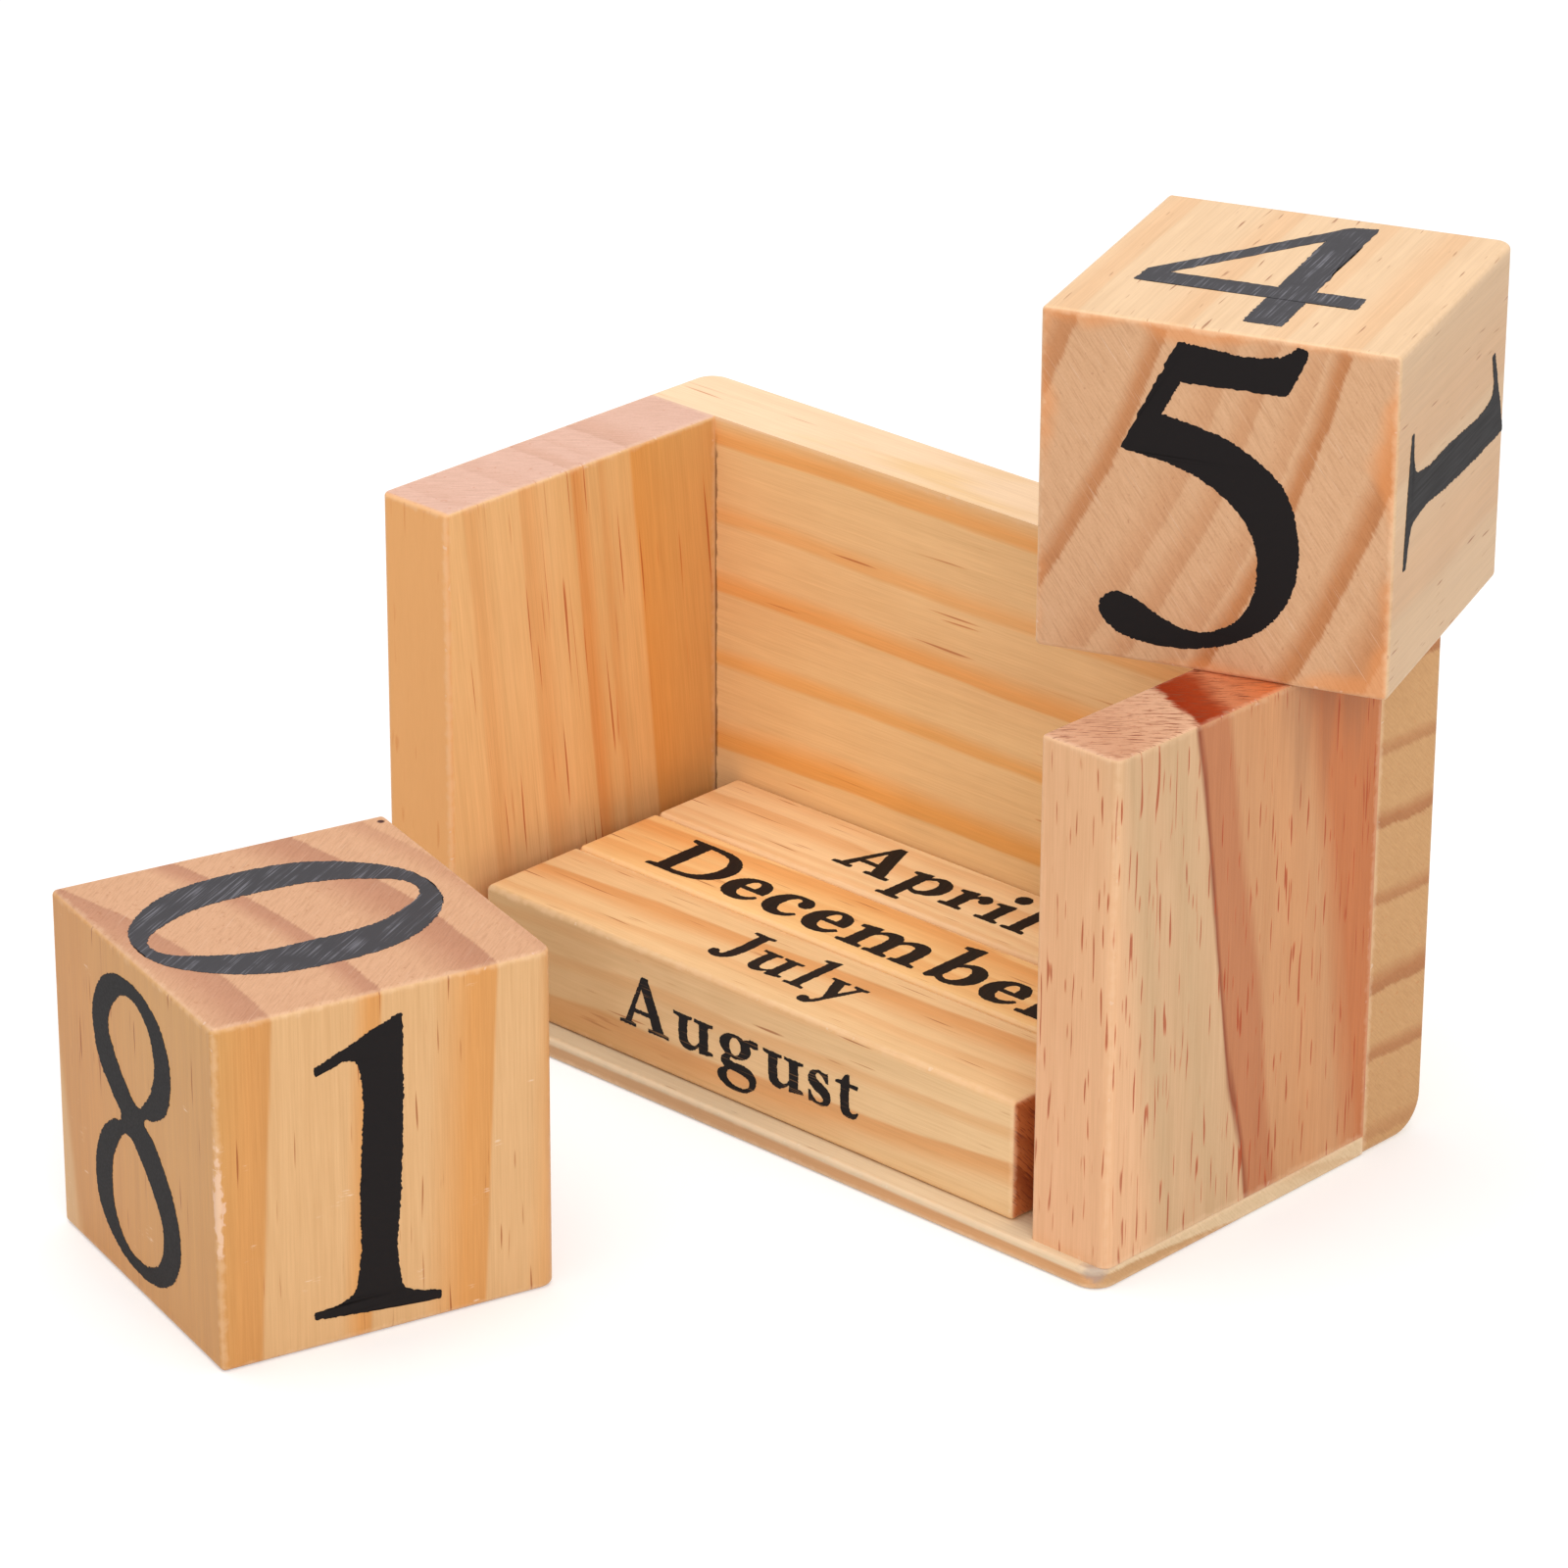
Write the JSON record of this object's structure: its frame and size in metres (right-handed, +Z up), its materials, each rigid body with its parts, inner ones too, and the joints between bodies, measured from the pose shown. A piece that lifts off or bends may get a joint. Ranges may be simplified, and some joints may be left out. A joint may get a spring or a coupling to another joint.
{
  "type": "perpetual desk calendar",
  "caption": "Wooden block desk calendar: open stand with month bars lying in its tray and loose number cubes that stand above them.",
  "frame": {"origin": "centre of the stand's underside, on the table", "axes": "+X to the right, +Y to the rear, +Z up"},
  "size_m": [0.1363, 0.1645, 0.1138],
  "materials": {
    "base_pine": "pale pine, thin satin lacquer",
    "left_wall_pine": "honey pine with vertical grain, satin lacquer",
    "right_wall_pine": "pine with vertical grain and reddish heartwood, satin lacquer",
    "back_pine": "honey pine with horizontal grain, satin lacquer",
    "bar_pine": "orange pine with lengthwise grain, satin lacquer",
    "upper_cube_pine": "pale pine with end grain at the front, satin lacquer",
    "lower_cube_pine": "golden pine with end grain at the top, satin lacquer",
    "brad_steel": "bright drawn wire",
    "black_ink": "matt black printing ink"
  },
  "bodies": {
    "stand": {"base_plate": "base_pine", "left_wall": "left_wall_pine", "right_wall": "right_wall_pine", "back_panel": "back_pine", "base_brads": "brad_steel", "rear_brads": "brad_steel"},
    "front_bar": {"month_bar_front": "bar_pine"},
    "middle_bar": {"month_bar_middle": "bar_pine"},
    "rear_bar": {"month_bar_rear": "bar_pine"},
    "upper_cube": {"number_cube_upper": "upper_cube_pine"},
    "lower_cube": {"number_cube_lower": "lower_cube_pine"}
  },
  "joints": [
    {"name": "front_bar_lift", "type": "slide", "parent": "stand", "child": "front_bar", "axis": [0, 0, 1], "range_m": [0, 0.08]},
    {"name": "middle_bar_lift", "type": "slide", "parent": "stand", "child": "middle_bar", "axis": [0, 0, 1], "range_m": [0, 0.05]},
    {"name": "rear_bar_lift", "type": "slide", "parent": "stand", "child": "rear_bar", "axis": [0, 0, 1], "range_m": [0, 0.05]},
    {"name": "upper_cube_lift", "type": "slide", "parent": "stand", "child": "upper_cube", "axis": [0, 0, 1], "range_m": [0, 0.06]},
    {"name": "lower_cube_lift", "type": "slide", "parent": "stand", "child": "lower_cube", "axis": [0, 0, 1], "range_m": [0, 0.08]}
  ]
}
